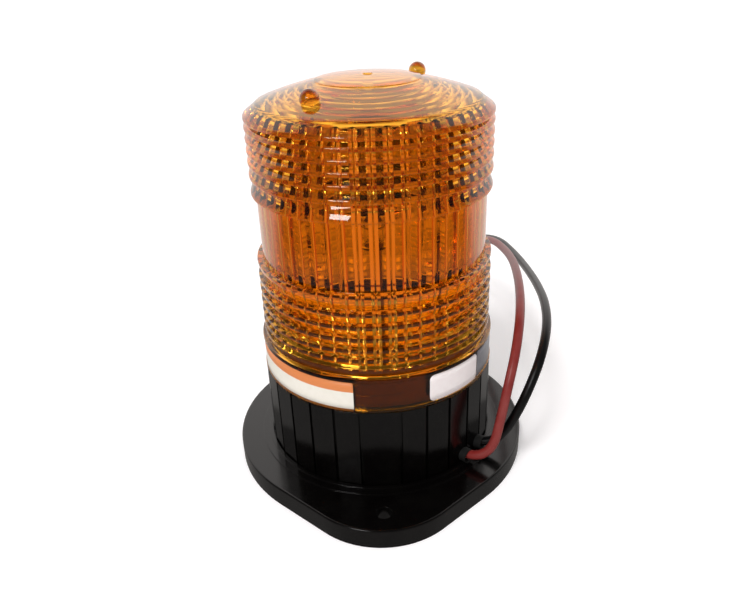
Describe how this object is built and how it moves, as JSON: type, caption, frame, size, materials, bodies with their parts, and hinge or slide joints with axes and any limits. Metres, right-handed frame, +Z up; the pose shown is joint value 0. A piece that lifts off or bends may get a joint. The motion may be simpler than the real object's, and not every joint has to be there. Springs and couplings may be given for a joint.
{
  "type": "strobe warning beacon",
  "caption": "Surface-mount xenon warning strobe: an oval flange, a black fluted housing with two supply leads, and an amber ribbed Fresnel lens that unscrews.",
  "frame": {"origin": "centre of the flange's underside, below the lens axis; the supply leads are left out of the centring", "axes": "+Z up the lens axis, +Y towards the rear ear, +X towards the side where the leads come out"},
  "size_m": [0.1244, 0.2108, 0.1407],
  "materials": {
    "housing_plastic": "glossy moulded black",
    "amber_lens": "clear amber polycarbonate",
    "black_rubber": "matt moulded rubber",
    "deck_plastic": "satin black",
    "screw_steel": "zinc plated",
    "tube_glass": "clear hard glass",
    "electrode_metal": "sintered tungsten",
    "bare_wire": "tinned wire",
    "board_laminate": "solder-masked glass epoxy",
    "spacer_nylon": "natural nylon",
    "capacitor_sleeve": "shrunk sleeve",
    "ferrite": "sintered dark grey",
    "enamelled_copper": "enamelled copper",
    "sink_aluminium": "plain extruded",
    "component_epoxy": "moulded epoxy",
    "resistor_lacquer": "lacquered",
    "film_case": "potted box",
    "terminal_plastic": "moulded nylon",
    "red_insulation": "extruded vinyl",
    "black_insulation": "extruded vinyl",
    "bare_copper": "stranded copper"
  },
  "bodies": {
    "base": {"mounting_flange": "housing_plastic", "fluted_housing": "housing_plastic", "housing_gasket": "black_rubber", "housing_screws": "screw_steel", "deck_plate": "deck_plastic", "deck_screws": "screw_steel", "tube_post": "deck_plastic", "tube_base": "deck_plastic", "flash_tube": "tube_glass", "tube_electrodes": "electrode_metal", "anode_lead": "bare_wire", "trigger_wire": "bare_wire", "circuit_board": "board_laminate", "board_standoffs": "spacer_nylon", "board_screws": "screw_steel", "storage_capacitor": "capacitor_sleeve", "transformer_core": "ferrite", "transformer_bobbin": "spacer_nylon", "transformer_winding": "enamelled_copper", "heat_sink": "sink_aluminium", "switching_transistor": "component_epoxy", "timing_chip": "component_epoxy", "resistors": "resistor_lacquer", "diodes": "component_epoxy", "film_capacitors": "film_case", "trigger_coil": "enamelled_copper", "terminal_block": "terminal_plastic", "lead_bushings": "black_rubber", "red_lead": "red_insulation", "red_lead_strands": "bare_copper", "black_lead": "black_insulation", "black_lead_strands": "bare_copper"},
    "seal": {"lens_gasket": "black_rubber"},
    "lens": {"lens_dome": "amber_lens"}
  },
  "joints": [
    {"name": "lens_lift", "type": "slide", "parent": "base", "child": "seal", "axis": [0, 0, 1], "range_m": [0, 0.006]},
    {"name": "lens_twist", "type": "hinge", "parent": "seal", "child": "lens", "pos_m": [0, 0, 0.045], "axis": [0, 0, 1], "range_deg": [0, 540]}
  ],
  "couplings": [
    {"joint": "lens_lift", "follows": "lens_twist", "m_per_rad": 0.000636}
  ]
}
